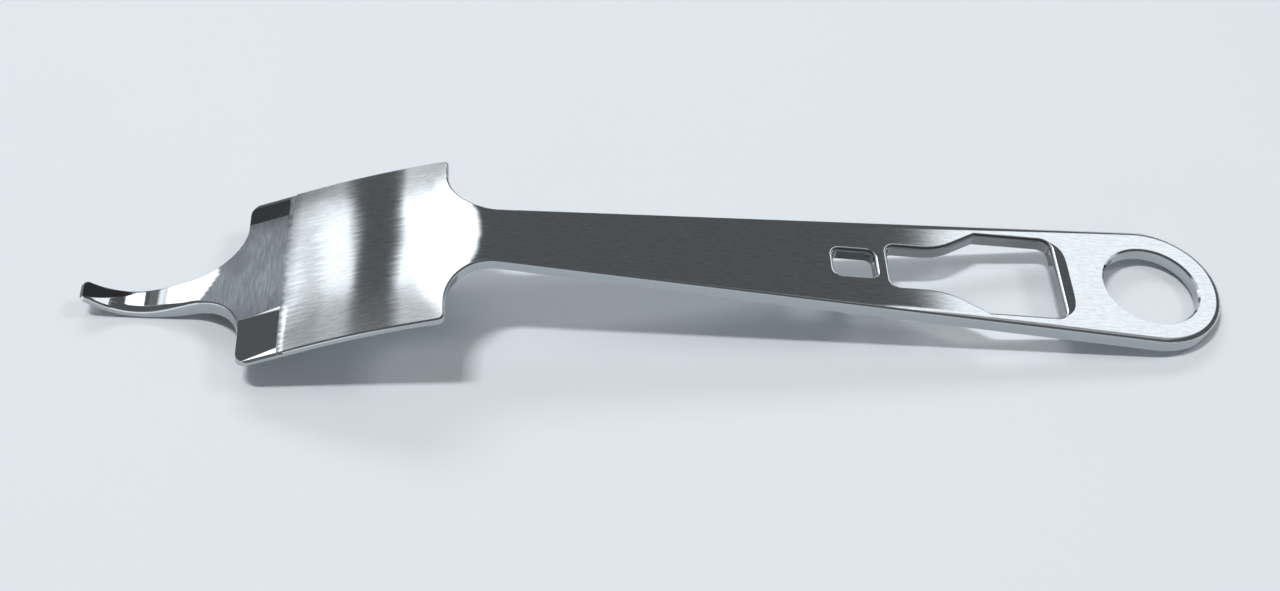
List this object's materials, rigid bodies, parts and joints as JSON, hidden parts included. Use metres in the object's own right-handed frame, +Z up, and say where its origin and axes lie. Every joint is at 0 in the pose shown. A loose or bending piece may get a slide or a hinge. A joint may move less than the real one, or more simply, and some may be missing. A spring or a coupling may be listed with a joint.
{
  "type": "handheld surgical retractor",
  "caption": "One-piece steel lever retractor: wide arched blade with a blunt upturned prong, and a flat tapering handle with slot, keyhole window and end hole.",
  "frame": {"origin": "middle of the footprint on the surface that the retractor rests on", "axes": "+X along the tool towards the handle's end hole, +Y across the blade, +Z up from the table, the top face up"},
  "size_m": [0.242, 0.0446, 0.0223],
  "materials": {
    "steel": "satin, brushed lengthwise, with mirror-polished front corners and prong"
  },
  "bodies": {
    "root": {"retractor": "steel"}
  },
  "joints": []
}
